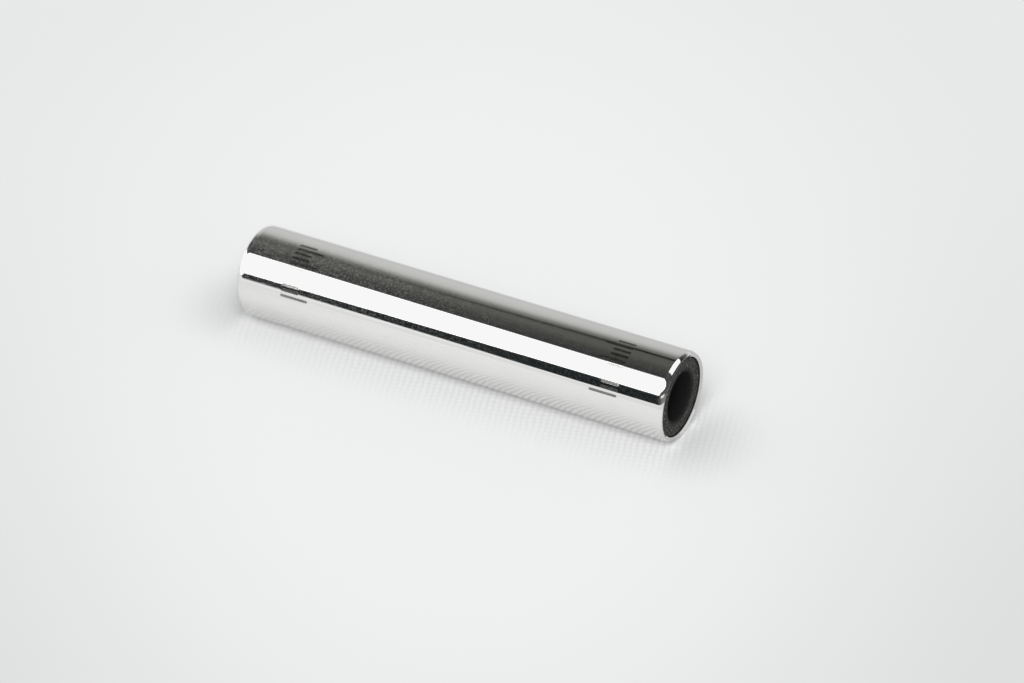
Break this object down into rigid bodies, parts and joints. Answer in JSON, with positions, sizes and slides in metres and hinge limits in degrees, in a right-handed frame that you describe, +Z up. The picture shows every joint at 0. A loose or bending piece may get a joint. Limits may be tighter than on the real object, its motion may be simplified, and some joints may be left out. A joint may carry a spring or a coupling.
{
  "type": "guitar slide",
  "caption": "Straight hand-held guitar slide: a mirror-polished chrome tube with rounded rims and a dark, matt damping liner with a through bore.",
  "frame": {"origin": "middle of the tube, on its axis", "axes": "+X along the tube's axis, +Z up; the two ends are alike and the body is round about X"},
  "size_m": [0.0822, 0.016, 0.016],
  "materials": {
    "chrome_tube": "mirror-polished chrome plate, with fine hairlines and a band of plain etched tick marks near each end",
    "liner_rubber": "matt charcoal, fine speckled grain"
  },
  "bodies": {
    "root": {"outer_tube": "chrome_tube", "liner": "liner_rubber"}
  },
  "joints": []
}
